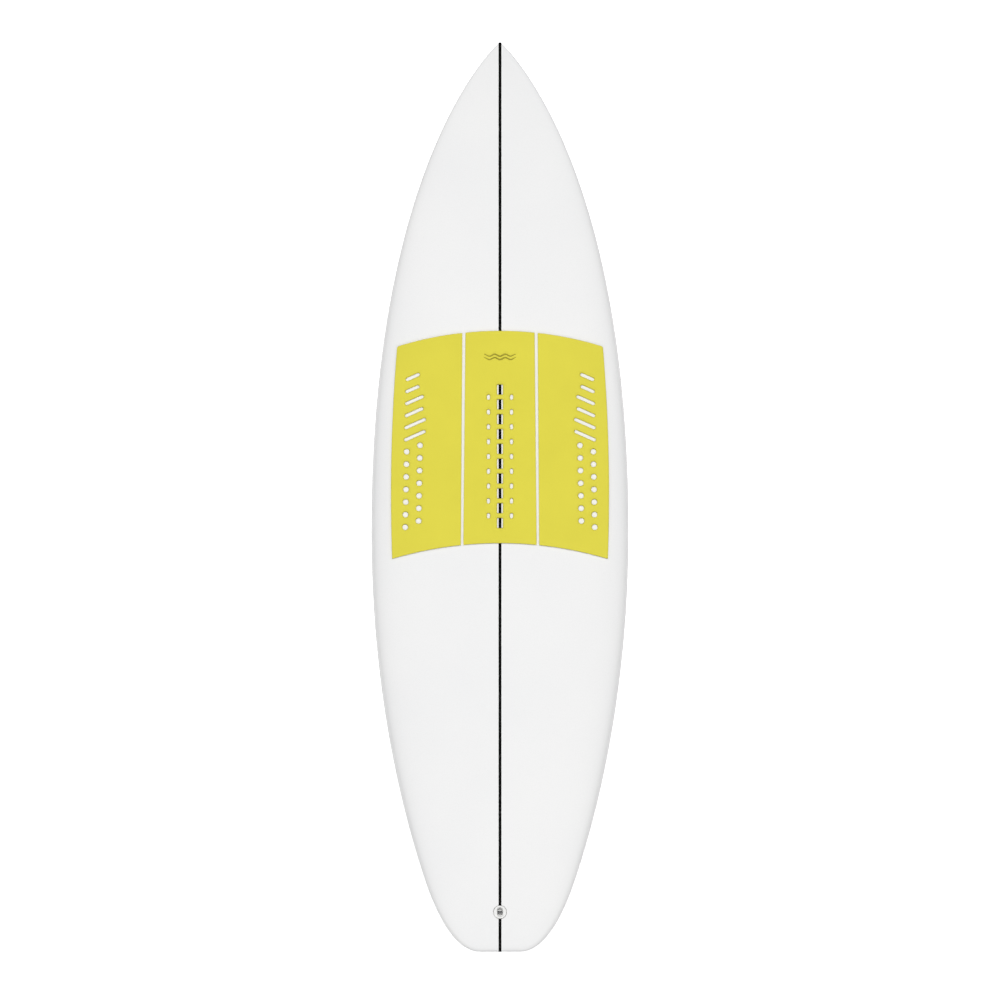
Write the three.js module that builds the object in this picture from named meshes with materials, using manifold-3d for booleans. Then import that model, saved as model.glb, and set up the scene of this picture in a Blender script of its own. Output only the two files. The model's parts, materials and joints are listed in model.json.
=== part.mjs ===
// A shortboard surfboard: glassed foam blank with a centre stringer, a three-piece front traction pad,
// a leash plug and three removable fins.
// Millimetres. +Y points to the nose, +X to starboard and +Z up through the deck. The origin is the middle of
// the board's footprint, at the height of the side fins' tips, which are the lowest points.
import * as THREE from "three";
import { mergeVertices } from "three/addons/utils/BufferGeometryUtils.js";
import Module from "manifold-3d";

// ---- driving dimensions ----

const LENGTH = 1727; // 5 ft 8 in
const HALF_LENGTH = LENGTH / 2;
const HALF_WIDTH = 244.5; // 19 1/4 in wide
const WIDE_POINT_Y = -63.5;
const THICKNESS = 60; // 2 3/8 in at the thickest section
const NOSE_ROCKER = 125;
const TAIL_ROCKER = 58;
const FLAT_FORE_Y = 120; // the bottom is flat lengthwise between these two stations
const FLAT_AFT_Y = -80;

const STRINGER_WIDTH = 5;
const LAMINATE = 1; // glass cloth and resin
const GAP = 0.3; // between neighbouring pieces
const CONCAVE = 4; // depth of the double concave ahead of the rear fin

const PAD_THICKNESS = 4;
const PAD_TOP_Y = 315.5; // the pad's front edge on the centreline
const PAD_BOTTOM_Y = -87.5; // its rear edge on the centreline
const PAD_TOP_RADIUS = 655;
const PAD_BOTTOM_RADIUS = 718;

const PLUG_Y = -788;
const PLUG_RADIUS = 12.7;
const PLUG_DEPTH = 17;
const PLUG_PROUD = 0.5; // how far the plug's rim stands above the glass
const CUP = { endOffset: 3.3, radius: 5.5, depth: 13.5, flare: 0.8 }; // the plug's oval cup
const PIN_RADIUS = 2.2;
const PIN_DEPTH = 5; // from the rim to the pin's axis

const FIN_BASE = 111;
const FIN_DEPTH = 115;
const FIN_CANT = THREE.MathUtils.degToRad(6.5);
const FIN_TOE = THREE.MathUtils.degToRad(1.6);
const REAR_FIN_FROM_TAIL = 98; // trailing end of the fin's base to the tail
const SIDE_FIN_FROM_TAIL = 279;
const SIDE_FIN_FROM_RAIL = 38;
const TAB = { length: 26, width: 6, height: 13, offset: 32 };
const BOX = { radius: 14, depth: 17, slotDepth: 14.5, endOffset: 36 };
const SCREW = { radius: 2.5, length: 6, tilt: THREE.MathUtils.degToRad(30), offset: 8, sunk: 2 };

// ---- solids ----

const v2 = (x, y) => new THREE.Vector2(x, y);
const cubic = (p0, p1, p2, p3) => new THREE.CubicBezierCurve(v2(...p0), v2(...p1), v2(...p2), v2(...p3));

const wasm = await Module();
wasm.setup();

function toSolid(geometry) {
  const bare = geometry.clone();
  for (const name of Object.keys(bare.attributes)) {
    if (name !== "position") bare.deleteAttribute(name);
  }
  const merged = mergeVertices(bare, 1e-4);
  return new wasm.Manifold(
    new wasm.Mesh({
      numProp: 3,
      vertProperties: new Float32Array(merged.attributes.position.array),
      triVerts: new Uint32Array(merged.index.array),
    }),
  );
}

function toGeometry(solid) {
  const { numProp, vertProperties, triVerts } = solid.getMesh();
  const geometry = new THREE.BufferGeometry();
  const stride = new THREE.InterleavedBuffer(vertProperties, numProp);
  const position = new Float32Array((vertProperties.length / numProp) * 3);
  for (let i = 0; i < position.length / 3; i++) {
    for (let axis = 0; axis < 3; axis++) position[3 * i + axis] = stride.array[numProp * i + axis];
  }
  geometry.setAttribute("position", new THREE.BufferAttribute(position, 3));
  geometry.setIndex(new THREE.BufferAttribute(new Uint32Array(triVerts), 1));
  geometry.computeVertexNormals();
  return geometry;
}

// A closed skin over rings of equal length, with both end rings capped. The rings follow one another towards
// -Y, and each runs anticlockwise as seen from behind.
function loft(rings) {
  const count = rings[0].length;
  const last = (rings.length - 1) * count;
  const index = [];
  for (let i = 0; i < last; i += count) {
    for (let j = 0; j < count; j++) {
      const a = i + j;
      const b = i + ((j + 1) % count);
      index.push(a, b, a + count, b, b + count, a + count);
    }
  }
  const cap = (ring) => THREE.ShapeUtils.triangulateShape(ring.map((p) => v2(p.x, p.z)), []);
  for (const [a, b, c] of cap(rings[0])) index.push(a, c, b);
  for (const triangle of cap(rings.at(-1))) index.push(...triangle.map((k) => last + k));
  const geometry = new THREE.BufferGeometry();
  geometry.setFromPoints(rings.flat());
  geometry.setIndex(index);
  return geometry;
}

// A prism of a flat shape, from z = low to z = high.
function prism(shape, low, high, curveSegments = 3) {
  const depth = high - low;
  return new THREE.ExtrudeGeometry(shape, { depth, bevelEnabled: false, curveSegments }).translate(0, 0, low);
}

function box(low, high) {
  const size = new THREE.Vector3().subVectors(high, low);
  const middle = new THREE.Vector3().addVectors(low, high).multiplyScalar(0.5);
  return new THREE.BoxGeometry(size.x, size.y, size.z).translate(middle.x, middle.y, middle.z);
}

// ---- the board's lines ----

const TIP_RADIUS = 3.5; // the nose's point, rounded in plan
const TIP_EDGE = TIP_RADIUS * Math.SQRT1_2;
const TIP_Y = HALF_LENGTH - TIP_RADIUS;
const TIP_CURVE = new THREE.EllipseCurve(0, TIP_Y, TIP_RADIUS, TIP_RADIUS, Math.PI / 2, Math.PI / 4, true);
const NOSE_CURVE = cubic(
  [TIP_EDGE, TIP_Y + TIP_EDGE],
  [39, HALF_LENGTH - 36],
  [HALF_WIDTH, 597],
  [HALF_WIDTH, WIDE_POINT_Y],
);
const HIP_CURVE = cubic([HALF_WIDTH, WIDE_POINT_Y], [HALF_WIDTH, -369], [185.5, -599.5], [142.4, -727.7]);
const TAIL_CURVE = cubic([142.4, -727.7], [120.5, -792.8], [85.7, -HALF_LENGTH], [37.7, -HALF_LENGTH]);

// Half the plan outline, as x against y, from the middle of the nose's tip round to the middle of the tail.
const OUTLINE = [
  { curve: TIP_CURVE, steps: 2 },
  { curve: NOSE_CURVE, steps: 13 },
  { curve: HIP_CURVE, steps: 8 },
  { curve: TAIL_CURVE, steps: 7 },
  { curve: new THREE.LineCurve(TAIL_CURVE.v3, v2(0, -HALF_LENGTH)), steps: 2 },
];

// The outline's points, moved in by an inset along the outline's normals.
function outlinePoints(inset) {
  const on = (curve, t) => {
    const p = curve.getPoint(t);
    const along = curve.getTangent(t);
    return v2(Math.max(p.x + inset * along.y, 0), p.y - inset * along.x);
  };
  const points = OUTLINE.flatMap(({ curve, steps }) =>
    Array.from({ length: steps }, (_, k) => on(curve, k / steps)),
  );
  return [...points, on(OUTLINE.at(-1).curve, 1)];
}

// Where along a curve one of its coordinates, which only rises or only falls, takes a value.
function solve(curve, axis, value) {
  const rising = curve.getPoint(1)[axis] > curve.getPoint(0)[axis];
  let [low, high] = [0, 1];
  for (let i = 0; i < 40; i++) {
    const t = (low + high) / 2;
    if (curve.getPoint(t)[axis] < value === rising) low = t;
    else high = t;
  }
  return curve.getPoint(low);
}

const halfWidth = (y) => solve([NOSE_CURVE, HIP_CURVE, TAIL_CURVE].find((c) => y >= c.v3.y), "y", y).x;

const { clamp, lerp, smoothstep } = THREE.MathUtils;

function rocker(y) {
  const fore = clamp((y - FLAT_FORE_Y) / (HALF_LENGTH - FLAT_FORE_Y), 0, 1);
  const aft = clamp((FLAT_AFT_Y - y) / (HALF_LENGTH + FLAT_AFT_Y), 0, 1);
  return NOSE_ROCKER * fore ** 2.2 + TAIL_ROCKER * aft ** 2;
}

function thickness(y) {
  const thickest = -20;
  const nose = { tip: 9, bend: 2.2, power: 1.17, run: HALF_LENGTH - thickest };
  const tail = { tip: 17, bend: 2.4, power: 1, run: HALF_LENGTH + thickest };
  const { tip, bend, power, run } = y > thickest ? nose : tail;
  const u = Math.min(Math.abs(y - thickest) / run, 1);
  return tip + (THICKNESS - tip) * (1 - u ** bend) ** power;
}

const topHeight = (y) => rocker(y) + thickness(y);

// The rail's widest point, as a height: half way up at the nose and low in the tail.
function apexHeight(y) {
  const s = y / HALF_LENGTH;
  const share = 0.4 + (s > 0 ? 0.1 : -0.07) * s * s;
  return rocker(y) + share * thickness(y);
}

const tailShare = (y) => 1 - smoothstep(y, -550, -200); // 0 ahead of the fins, 1 from the fins back

// The board's sections run straight across it, from the stringer to the outline. Those of the tail and of the
// nose's tip fan out from a hub on the stringer instead, so that the rail wraps right round each end.
const NOSE_HUB_Y = HALF_LENGTH - 14;
const TAIL_HUB_Y = -HALF_LENGTH + 100;

const concaveDepth = (y) => CONCAVE * tailShare(y) * smoothstep(y, TAIL_HUB_Y, TAIL_HUB_Y + 150);

// Half a section's shape, from the outline's point that it runs to. A curve's x is the share of the way from
// the stringer to the outline. Its y is the height, as a share of that from the rail's widest point up to the
// deck, or down to the bottom.
function sectionShape(edge) {
  const hubY = clamp(edge.y, TAIL_HUB_Y, NOSE_HUB_Y);
  const fan = Math.abs(edge.y - hubY);
  const turn = fan / Math.hypot(edge.x, fan); // 0 straight across, 1 straight fore and aft
  const aft = tailShare(edge.y);
  const hard = 0.5 + 0.4 * aft; // soft rails forward, a hard lower edge in the tail
  const tuck = lerp(0.38, 0.2, aft) * lerp(1, 0.6, turn);
  const reach = lerp(0.7 + 0.1 * aft, 0.94 + 0.035 * aft, turn); // how far out the deck stays flat
  const shoulder = 0.55 + 0.3 * aft * turn;
  return {
    hubY,
    panel: 1 - tuck,
    deck: cubic([0, 1], [reach, 1], [1, shoulder], [1, 0]),
    rail: cubic([1, 0], [1, hard], [1 - tuck * (1 - hard), 1], [1 - tuck, 1]),
  };
}

const DECK_STEPS = 7;
const RAIL_STEPS = 4;
const PANEL_STEPS = 4;
const NEAR_APEX = 0.035; // sections step over the rail's widest point, where the two laminates meet

// Half a section: from the stringer out over the deck, round the rail and back under the bottom.
function halfSection(edge, inset) {
  const { hubY, panel, deck, rail } = sectionShape(edge);
  const apex = apexHeight(edge.y);
  const point = (share, height) => {
    const y = lerp(hubY, edge.y, share);
    return new THREE.Vector3(edge.x * share, y, height(y));
  };
  const over = Array.from({ length: DECK_STEPS + 1 }, (_, k) => {
    const p = deck.getPoint(k < DECK_STEPS ? k / DECK_STEPS : 1 - NEAR_APEX);
    return point(p.x, (y) => lerp(apex, topHeight(y) - inset, p.y));
  });
  const round = Array.from({ length: RAIL_STEPS }, (_, k) => {
    const p = rail.getPoint(k ? k / RAIL_STEPS : NEAR_APEX);
    return point(p.x, (y) => lerp(apex, rocker(y) + inset, p.y));
  });
  const under = Array.from({ length: PANEL_STEPS + 1 }, (_, k) => {
    const share = 1 - k / PANEL_STEPS;
    const hollow = (1 - Math.cos(2 * Math.PI * share)) / 2;
    return point(panel * share, (y) => rocker(y) + inset + concaveDepth(y) * hollow);
  });
  return [...over, ...round, ...under];
}

// The whole board's shape, inset all round: sections from the nose round by starboard to the tail, and back.
function boardSolid(inset) {
  const starboard = outlinePoints(inset).map((edge) => halfSection(edge, inset));
  const port = starboard.slice(1, -1).map((section) => section.map((p) => p.clone().setX(-p.x)));
  const sections = [...starboard, ...port.toReversed()];
  const faces = sections.flatMap((a, i) => {
    const b = sections[(i + 1) % sections.length];
    return a.slice(1).flatMap((outer, j) =>
      i < starboard.length - 1
        ? [[a[j], b[j], b[j + 1]], [a[j], b[j + 1], outer]]
        : [[a[j], b[j], outer], [b[j], b[j + 1], outer]],
    );
  });
  const whole = ([p, q, r]) => p.distanceTo(q) > 1e-3 && q.distanceTo(r) > 1e-3 && r.distanceTo(p) > 1e-3;
  return toSolid(new THREE.BufferGeometry().setFromPoints(faces.filter(whole).flat()));
}

// Everything above or below the line of the rails' widest points, half a gap away from it.
function railSplit(side) {
  const far = side * 400;
  const stations = outlinePoints(0).map((p) => p.y);
  const line = stations
    .filter((y, i) => i === 0 || stations[i - 1] - y > 0.2)
    .map((y) => v2(y, apexHeight(y) + (side * GAP) / 2));
  const ends = [v2(line[0].x + 50, line[0].y), v2(line.at(-1).x - 50, line.at(-1).y)];
  const shape = new THREE.Shape([ends[0], ...line, ends[1], v2(ends[1].x, far), v2(ends[0].x, far)]);
  const across = new THREE.Matrix4().makeBasis(
    new THREE.Vector3(0, 1, 0),
    new THREE.Vector3(0, 0, 1),
    new THREE.Vector3(1, 0, 0),
  );
  return toSolid(prism(shape, -300, 300).applyMatrix4(across));
}

// ---- pockets and their places ----

const slopeOf = (height, y, reach) => Math.atan((height(y + reach) - height(y - reach)) / (2 * reach));

// The deck's height on the stringer behind the tail's hub.
function tailDeckHeight(y) {
  const end = v2(0, -HALF_LENGTH);
  const share = (y - TAIL_HUB_Y) / (end.y - TAIL_HUB_Y);
  return lerp(apexHeight(end.y), topHeight(y), solve(sectionShape(end).deck, "x", share).y);
}

const plugPlace = new THREE.Matrix4()
  .makeTranslation(0, PLUG_Y, tailDeckHeight(PLUG_Y) + PLUG_PROUD)
  .multiply(new THREE.Matrix4().makeRotationX(slopeOf(tailDeckHeight, PLUG_Y, PLUG_RADIUS)));

// A fin's place: its base's middle on the bottom, with +Y forward along the bottom and +Z into the board.
function finPlace(side) {
  const fromTail = side ? SIDE_FIN_FROM_TAIL : REAR_FIN_FROM_TAIL;
  const y = -HALF_LENGTH + fromTail + FIN_BASE / 2;
  const x = side * (halfWidth(y) - SIDE_FIN_FROM_RAIL);
  const proud = 0.6; // the box's face stands just clear of the curved glass
  return new THREE.Matrix4()
    .makeTranslation(x, y, rocker(y) - proud)
    .multiply(new THREE.Matrix4().makeRotationX(slopeOf(rocker, y, FIN_BASE / 2)))
    .multiply(new THREE.Matrix4().makeRotationZ(side * FIN_TOE));
}

function stadium(halfLength, radius) {
  const shape = new THREE.Shape();
  shape.absarc(0, halfLength, radius, 0, Math.PI);
  shape.absarc(0, -halfLength, radius, Math.PI, 2 * Math.PI);
  return shape;
}

const FINS = [
  { name: "port", side: -1 },
  { name: "center", side: 0 },
  { name: "starboard", side: 1 },
].map((fin) => ({ ...fin, place: finPlace(fin.side) }));

function pocketSolids() {
  const plug = new THREE.CylinderGeometry(PLUG_RADIUS + GAP, PLUG_RADIUS + GAP, PLUG_DEPTH + GAP + 10, 20)
    .rotateX(Math.PI / 2)
    .translate(0, 0, (10 - PLUG_DEPTH - GAP) / 2)
    .applyMatrix4(plugPlace);
  const boxes = FINS.map(({ place }) =>
    prism(stadium(BOX.endOffset, BOX.radius + GAP), -10, BOX.depth + GAP, 6).applyMatrix4(place),
  );
  return [plug, ...boxes].map(toSolid);
}

// ---- blank, stringer and laminates ----

function boardPieces() {
  const pockets = pocketSolids();
  const routed = (solid) => pockets.reduce((left, pocket) => left.subtract(pocket), solid);
  const foam = boardSolid(LAMINATE + GAP);
  const skin = boardSolid(0).subtract(boardSolid(LAMINATE));
  const far = 1000;
  const slice = (x0, x1) => toSolid(box(new THREE.Vector3(x0, -far, -far), new THREE.Vector3(x1, far, far)));
  const glueLine = STRINGER_WIDTH / 2 + GAP;
  return {
    blank_port: routed(foam.intersect(slice(-far, -glueLine))),
    blank_starboard: routed(foam.intersect(slice(glueLine, far))),
    stringer: routed(foam.intersect(slice(-STRINGER_WIDTH / 2, STRINGER_WIDTH / 2))),
    deck_laminate: routed(skin.intersect(railSplit(1))),
    bottom_laminate: routed(skin.intersect(railSplit(-1))),
  };
}

// ---- traction pad ----

const arcY = (top, radius, x) => top - radius + Math.sqrt(radius ** 2 - x ** 2);
const padTop = (x) => arcY(PAD_TOP_Y, PAD_TOP_RADIUS, x);
const padBottom = (x) => arcY(PAD_BOTTOM_Y, PAD_BOTTOM_RADIUS, x);

// A slab of even height lying over the deck, faceted like the deck.
function deckSlab(low, high) {
  const reach = 5; // deck steps out from the stringer that the pads lie on
  const edges = outlinePoints(0).filter((p) => p.y < PAD_TOP_Y + 90 && p.y > PAD_BOTTOM_Y - 130);
  const rings = edges.map((edge) => {
    const starboard = halfSection(edge, 0).slice(0, reach + 1).toReversed();
    const port = starboard.slice(0, -1).map((p) => p.clone().setX(-p.x));
    const line = [...starboard, ...port.toReversed()];
    const lifted = (by) => line.map((p) => p.clone().setZ(p.z + by));
    return [...lifted(high), ...lifted(low).toReversed()];
  });
  return toSolid(loft(rings));
}

// A pad piece's outline between two side edges. Each is given by its x at the front and at the rear, and by
// how far it bows out between them.
function padShape(left, right) {
  const across = (x0, x1, curve, steps = 6) =>
    Array.from({ length: steps + 1 }, (_, k) => {
      const x = lerp(x0, x1, k / steps);
      return v2(x, curve(x));
    });
  const down = ({ front, rear, bow }, steps = 5) =>
    Array.from({ length: bow ? steps - 1 : 0 }, (_, k) => {
      const t = (k + 1) / steps;
      return v2(lerp(front, rear, t) + 4 * bow * t * (1 - t), lerp(padTop(front), padBottom(rear), t));
    });
  return new THREE.Shape([
    ...across(left.front, right.front, padTop),
    ...down(right),
    ...across(right.rear, left.rear, padBottom),
    ...down(left).toReversed(),
  ]);
}

function holePath(x, y, radius, sides) {
  return new THREE.Path(
    Array.from({ length: sides }, (_, k) => {
      const a = (2 * Math.PI * (k + 0.5)) / sides;
      return v2(x + radius * Math.cos(a), y + radius * Math.sin(a));
    }),
  );
}

// A round-ended slot from one end's centre to the other's.
function slotPath(from, to, radius) {
  const heading = Math.atan2(to.y - from.y, to.x - from.x);
  const end = (centre, start) =>
    Array.from({ length: 4 }, (_, k) => {
      const a = heading + start + (Math.PI * k) / 3;
      return v2(centre.x + radius * Math.cos(a), centre.y + radius * Math.sin(a));
    });
  return new THREE.Path([...end(to, -Math.PI / 2), ...end(from, Math.PI / 2)]);
}

const SLOT_LENGTHS = [22.5, 22.5, 32, 32, 38, 38]; // between the ends' centres, from the front
const SLOT_ANGLE = THREE.MathUtils.degToRad(24);
const SLOT_RADIUS = 3.4;
const SLOT_PITCH = 22.9;
const FIRST_SLOT_Y = 223.2; // the outer end's centre
const HOLE_RADIUS = 5.7;
const HOLE_PITCH = 23.9;
const FIRST_HOLE_Y = 86.1; // in the outer row
const HOLES_PER_ROW = 7;

function sidePad(side) {
  const edges = [
    { front: 71.6, rear: 74.4, bow: 0 },
    { front: 195.4, rear: 204.8, bow: 6 },
  ];
  const [left, right] = (side > 0 ? edges : edges.toReversed()).map((e) => ({
    front: side * e.front,
    rear: side * e.rear,
    bow: side * e.bow,
  }));
  const shape = padShape(left, right);
  SLOT_LENGTHS.forEach((length, k) => {
    const outer = v2(175.9 + 0.65 * k, FIRST_SLOT_Y - SLOT_PITCH * k);
    const inner = v2(outer.x - length * Math.cos(SLOT_ANGLE), outer.y + length * Math.sin(SLOT_ANGLE));
    shape.holes.push(slotPath(v2(side * outer.x, outer.y), v2(side * inner.x, inner.y), SLOT_RADIUS));
  });
  for (let k = 0; k < HOLES_PER_ROW; k++) {
    const drift = 0.45 * k;
    const y = FIRST_HOLE_Y - HOLE_PITCH * k;
    shape.holes.push(holePath(side * (177.2 + drift), y, HOLE_RADIUS, 8));
    shape.holes.push(holePath(side * (151.9 + drift), y + HOLE_PITCH / 2, HOLE_RADIUS, 8));
  }
  return shape;
}

const DASH_PITCH = 28.15;
const DASH_COUNT = 10;
const FIRST_DASH_Y = 204;

function centrePad() {
  const shape = padShape({ front: -65.6, rear: -69.6, bow: 0 }, { front: 65.6, rear: 69.6, bow: 0 });
  for (let k = 0; k < DASH_COUNT; k++) {
    const y = FIRST_DASH_Y - DASH_PITCH * k;
    shape.holes.push(dashPath(y, 11.4, 19.2, 2));
    if (k === DASH_COUNT - 1) continue;
    const beside = y - DASH_PITCH / 2;
    for (const x of [-21.9, 21.9]) shape.holes.push(slotPath(v2(x, beside - 2.6), v2(x, beside + 2.6), 3.4));
  }
  return shape;
}

// A rectangular window with cut corners, centred on the stringer.
function dashPath(y, width, height, corner) {
  const [w, h] = [width / 2, height / 2];
  const quarter = [v2(w, h - corner), v2(w - corner, h)];
  return new THREE.Path([
    ...quarter.map((p) => v2(p.x, y + p.y)),
    ...quarter.toReversed().map((p) => v2(-p.x, y + p.y)),
    ...quarter.map((p) => v2(-p.x, y - p.y)),
    ...quarter.toReversed().map((p) => v2(p.x, y - p.y)),
  ]);
}

function padPieces() {
  const slab = deckSlab(GAP, GAP + PAD_THICKNESS);
  const cut = (shape) => slab.intersect(toSolid(prism(shape, 0, 200)));
  return { pad_port: cut(sidePad(-1)), pad_center: cut(centrePad()), pad_starboard: cut(sidePad(1)) };
}

// ---- leash plug ----

function leashCup() {
  const profile = [
    v2(0, -PLUG_DEPTH),
    v2(PLUG_RADIUS - 1.2, -PLUG_DEPTH),
    v2(PLUG_RADIUS - 1.2, -2),
    v2(PLUG_RADIUS, -2),
    v2(PLUG_RADIUS, 0),
    v2(0, 0),
  ];
  const { endOffset, radius, depth, flare } = CUP;
  const oval = stadium(endOffset, radius);
  const hollow = prism(oval, -depth, -flare / 2, 6);
  const bevel = { bevelSize: flare, bevelThickness: flare, bevelSegments: 1 };
  const mouth = new THREE.ExtrudeGeometry(oval, { depth: 2, curveSegments: 6, ...bevel });
  return [hollow, mouth, leashPin(GAP)].reduce(
    (plug, part) => plug.subtract(toSolid(part)),
    toSolid(new THREE.LatheGeometry(profile, 20).rotateX(Math.PI / 2)),
  );
}

function leashPin(grow = 0) {
  const length = 2 * (PLUG_RADIUS - 1.2) - (grow ? 0 : 3);
  return new THREE.CylinderGeometry(PIN_RADIUS + grow, PIN_RADIUS + grow, length + 4 * grow, 12)
    .rotateZ(Math.PI / 2)
    .translate(0, 0, -PIN_DEPTH);
}

// ---- fins, fin boxes and grub screws ----

// A fin screw's place in its fin's frame: the middle of its outer end, with +Z along the screw to the tab.
function screwPlace(end, hand) {
  return new THREE.Matrix4()
    .makeTranslation(-hand * SCREW.offset, end * TAB.offset, SCREW.sunk)
    .multiply(new THREE.Matrix4().makeRotationY(hand * SCREW.tilt));
}

function finBox(hand) {
  let solid = toSolid(prism(stadium(BOX.endOffset, BOX.radius), 0, BOX.depth, 6));
  const slot = TAB.length / 2 + 0.5;
  const wide = TAB.width / 2 + 0.35;
  for (const end of [-1, 1]) {
    const y = end * TAB.offset;
    const low = new THREE.Vector3(-wide, y - slot, -1);
    solid = solid.subtract(toSolid(box(low, new THREE.Vector3(wide, y + slot, BOX.slotDepth))));
    const bore = new THREE.CylinderGeometry(SCREW.radius + GAP, SCREW.radius + GAP, 16, 12)
      .rotateX(Math.PI / 2)
      .translate(0, 0, 2)
      .applyMatrix4(screwPlace(end, hand));
    solid = solid.subtract(toSolid(bore));
  }
  return solid;
}

function grubScrew() {
  const body = new THREE.CylinderGeometry(SCREW.radius - 0.7, SCREW.radius, 1, 12)
    .rotateX(Math.PI / 2)
    .translate(0, 0, SCREW.length - 0.5);
  const shank = new THREE.CylinderGeometry(SCREW.radius, SCREW.radius, SCREW.length - 1, 12)
    .rotateX(Math.PI / 2)
    .translate(0, 0, (SCREW.length - 1) / 2);
  const socket = new THREE.CylinderGeometry(1.45, 1.45, 6, 6).rotateX(Math.PI / 2);
  return toSolid(shank).add(toSolid(body)).subtract(toSolid(socket));
}

// Half the thickness of an aerofoil, as a share of its greatest half thickness.
function foilShape(c) {
  const t = 0.2969 * Math.sqrt(c) - 0.126 * c - 0.3516 * c ** 2 + 0.2843 * c ** 3 - 0.1036 * c ** 4;
  return t / 0.1;
}

const FIN_FRONT = cubic([55.5, 0], [40, 34], [8, 92], [-70, FIN_DEPTH]);
const FIN_REAR = cubic([-55.5, 0], [-44, 30], [-60, 78], [-84, FIN_DEPTH - 3]);

// One section of the blade, at a share of the way to its tip: symmetric for the centre fin, and flat on the
// inboard face, with the tip canted outboard, for a side fin.
function bladeRing(share, side) {
  const front = FIN_FRONT.getPoint(share);
  const rear = FIN_REAR.getPoint(share);
  const halfThick = lerp(4.4, 1.1, share) * (1 - 0.5 * share ** 6);
  const steps = 6;
  const edge = 0.4;
  const face = (outer) =>
    Array.from({ length: steps + 1 }, (_, k) => {
      const c = (1 - Math.cos((Math.PI * k) / steps)) / 2;
      const bulge = edge + halfThick * Math.max(foilShape(c), 0);
      const x = side === 0 ? outer * bulge : side * (outer > 0 ? 2 * bulge - 2.4 : -2.4);
      const depth = lerp(front.y, rear.y, c);
      const y = lerp(front.x, rear.x, c);
      return new THREE.Vector3(x + side * depth * Math.tan(FIN_CANT), y, -depth);
    });
  const ring = [...face(1), ...face(-1).toReversed()];
  return side < 0 ? ring.toReversed() : ring;
}

const FIN_CLEAR = 0.4; // between the fin's base and the box's face

function finSolid(side) {
  const steps = 8;
  const shares = Array.from({ length: steps + 1 }, (_, k) => Math.sin((k / steps) * (Math.PI / 2)));
  const rings = shares.map((share) => bladeRing(share, side));
  const blade = toSolid(loftByDepth(rings)).translate(0, 0, -FIN_CLEAR);
  return [-1, 1].reduce((fin, end) => {
    const y = end * TAB.offset;
    const low = new THREE.Vector3(-TAB.width / 2, y - TAB.length / 2, -3);
    return fin.add(toSolid(box(low, new THREE.Vector3(TAB.width / 2, y + TAB.length / 2, TAB.height))));
  }, blade);
}

// The blade's sections lie flat rather than upright, so they are lofted turned over and turned back.
function loftByDepth(rings) {
  const turned = rings.map((ring) => ring.map((p) => new THREE.Vector3(p.x, p.z, -p.y)));
  return loft(turned).rotateX(Math.PI / 2);
}

// ---- materials ----

function finish(color, roughness, metalness = 0) {
  return new THREE.MeshStandardMaterial({ color, roughness, metalness });
}

const MATERIALS = {
  foam: finish(0xf4f1e6, 0.9),
  stringer: finish(0x0d0d0d, 0.6),
  glass: finish(0xf3f3f3, 0.12),
  pad: finish(0xe0d64f, 0.8),
  plug: finish(0xe8e8e8, 0.3),
  steel: finish(0xb8babd, 0.25, 1),
  darkSteel: finish(0x5c5e61, 0.3, 1),
  fin: finish(0x1b1c1e, 0.3),
};

// ---- assembly ----

const board = new THREE.Group();

function place(name, solid, material, matrix) {
  const mesh = new THREE.Mesh(toGeometry(solid), MATERIALS[material]);
  mesh.name = name;
  if (matrix) mesh.applyMatrix4(matrix);
  board.add(mesh);
}

const core = boardPieces();
place("blank_port", core.blank_port, "foam");
place("blank_starboard", core.blank_starboard, "foam");
place("stringer", core.stringer, "stringer");
place("deck_laminate", core.deck_laminate, "glass");
place("bottom_laminate", core.bottom_laminate, "glass");
for (const [name, solid] of Object.entries(padPieces())) place(name, solid, "pad");
place("leash_cup", leashCup(), "plug", plugPlace);
place("leash_pin", toSolid(leashPin()), "darkSteel", plugPlace);
for (const { name, side, place: matrix } of FINS) {
  const hand = side || 1; // the screws are inboard of a side fin and to port of the centre fin
  place(`fin_box_${name}`, finBox(hand), "plug", matrix);
  place(`fin_${name}`, finSolid(side), "fin", matrix);
  for (const [label, end] of [["front", 1], ["rear", -1]]) {
    const at = matrix.clone().multiply(screwPlace(end, hand));
    place(`grub_screw_${name}_${label}`, grubScrew(), "steel", at);
  }
}

board.position.z = -new THREE.Box3().setFromObject(board, true).min.z;

export default board;
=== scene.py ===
"""A shortboard surfboard on a plain pale floor, seen from straight above."""

import json
import math

import bmesh
import bpy
import numpy as np
from mathutils import Matrix, Vector, geometry
from mathutils.bvhtree import BVHTree
from mathutils.interpolate import poly_3d_calc


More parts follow.
